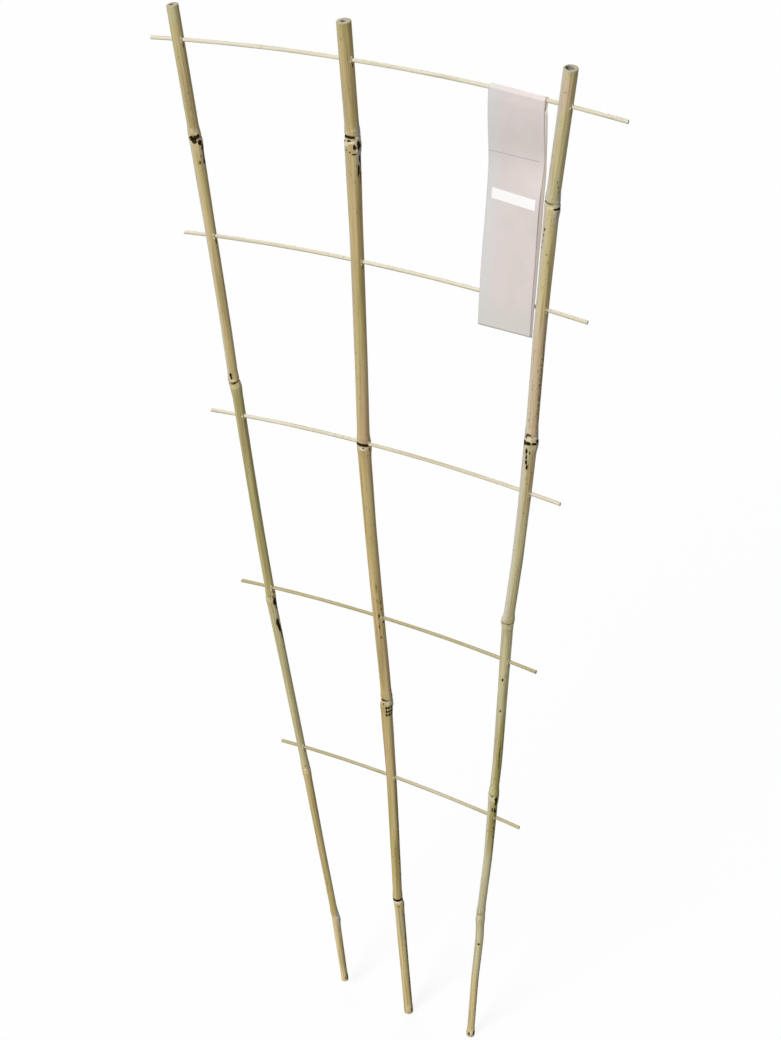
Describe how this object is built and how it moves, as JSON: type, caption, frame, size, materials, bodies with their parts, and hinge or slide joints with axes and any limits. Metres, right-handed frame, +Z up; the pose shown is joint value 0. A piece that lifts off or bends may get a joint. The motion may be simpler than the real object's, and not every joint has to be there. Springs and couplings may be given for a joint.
{
  "type": "espalier frame",
  "caption": "Flat fan-shaped plant support of natural bamboo canes, threaded across by thin bowed bamboo rungs, with a blank folded card tag hanging on the top rung.",
  "frame": {"origin": "centre of the middle cane's foot, where it is cut square", "axes": "+Z up the middle cane, +X to the right along the rungs, +Y to the back; the front with the tag faces -Y"},
  "size_m": [0.3513, 0.0108, 0.9002],
  "materials": {
    "cane_bamboo": "natural waxy bamboo skin, semi-gloss, with darker knuckles",
    "rung_bamboo": "split and rounded bamboo rod, matt, pale",
    "hang_tag": "satin printed card, left blank"
  },
  "bodies": {
    "canes": {"cane_left": "cane_bamboo", "cane_middle": "cane_bamboo", "cane_right": "cane_bamboo"},
    "rung_1": {"rung_1": "rung_bamboo"},
    "rung_2": {"rung_2": "rung_bamboo"},
    "rung_3": {"rung_3": "rung_bamboo"},
    "rung_4": {"rung_4": "rung_bamboo"},
    "rung_5": {"rung_5": "rung_bamboo"},
    "tag": {"hang_tag": "hang_tag"}
  },
  "joints": [
    {"name": "rung_1_slide", "type": "hinge", "parent": "canes", "child": "rung_1", "pos_m": [0.0383, 0, -0.79957], "axis": [0, 1, 0], "range_deg": [-1.21, 0.52]},
    {"name": "rung_2_slide", "type": "hinge", "parent": "canes", "child": "rung_2", "pos_m": [0.02218, 0, -0.79981], "axis": [0, 1, 0], "range_deg": [-0.96, 0.6]},
    {"name": "rung_3_slide", "type": "hinge", "parent": "canes", "child": "rung_3", "pos_m": [0.00557, 0, -0.79995], "axis": [0, 1, 0], "range_deg": [-0.87, 0.8]},
    {"name": "rung_4_slide", "type": "hinge", "parent": "canes", "child": "rung_4", "pos_m": [-0.00571, 0, -0.8], "axis": [0, 1, 0], "range_deg": [-0.9, 0.86]},
    {"name": "rung_5_slide", "type": "hinge", "parent": "canes", "child": "rung_5", "pos_m": [-0.03028, 0, -0.79963], "axis": [0, 1, 0], "range_deg": [-0.97, 0.68]},
    {"name": "tag_swing", "type": "hinge", "parent": "canes", "child": "tag", "pos_m": [0.12311, 0, 0.87228], "axis": [-0.9973, 0, 0.0733], "range_deg": [0, 120]}
  ]
}
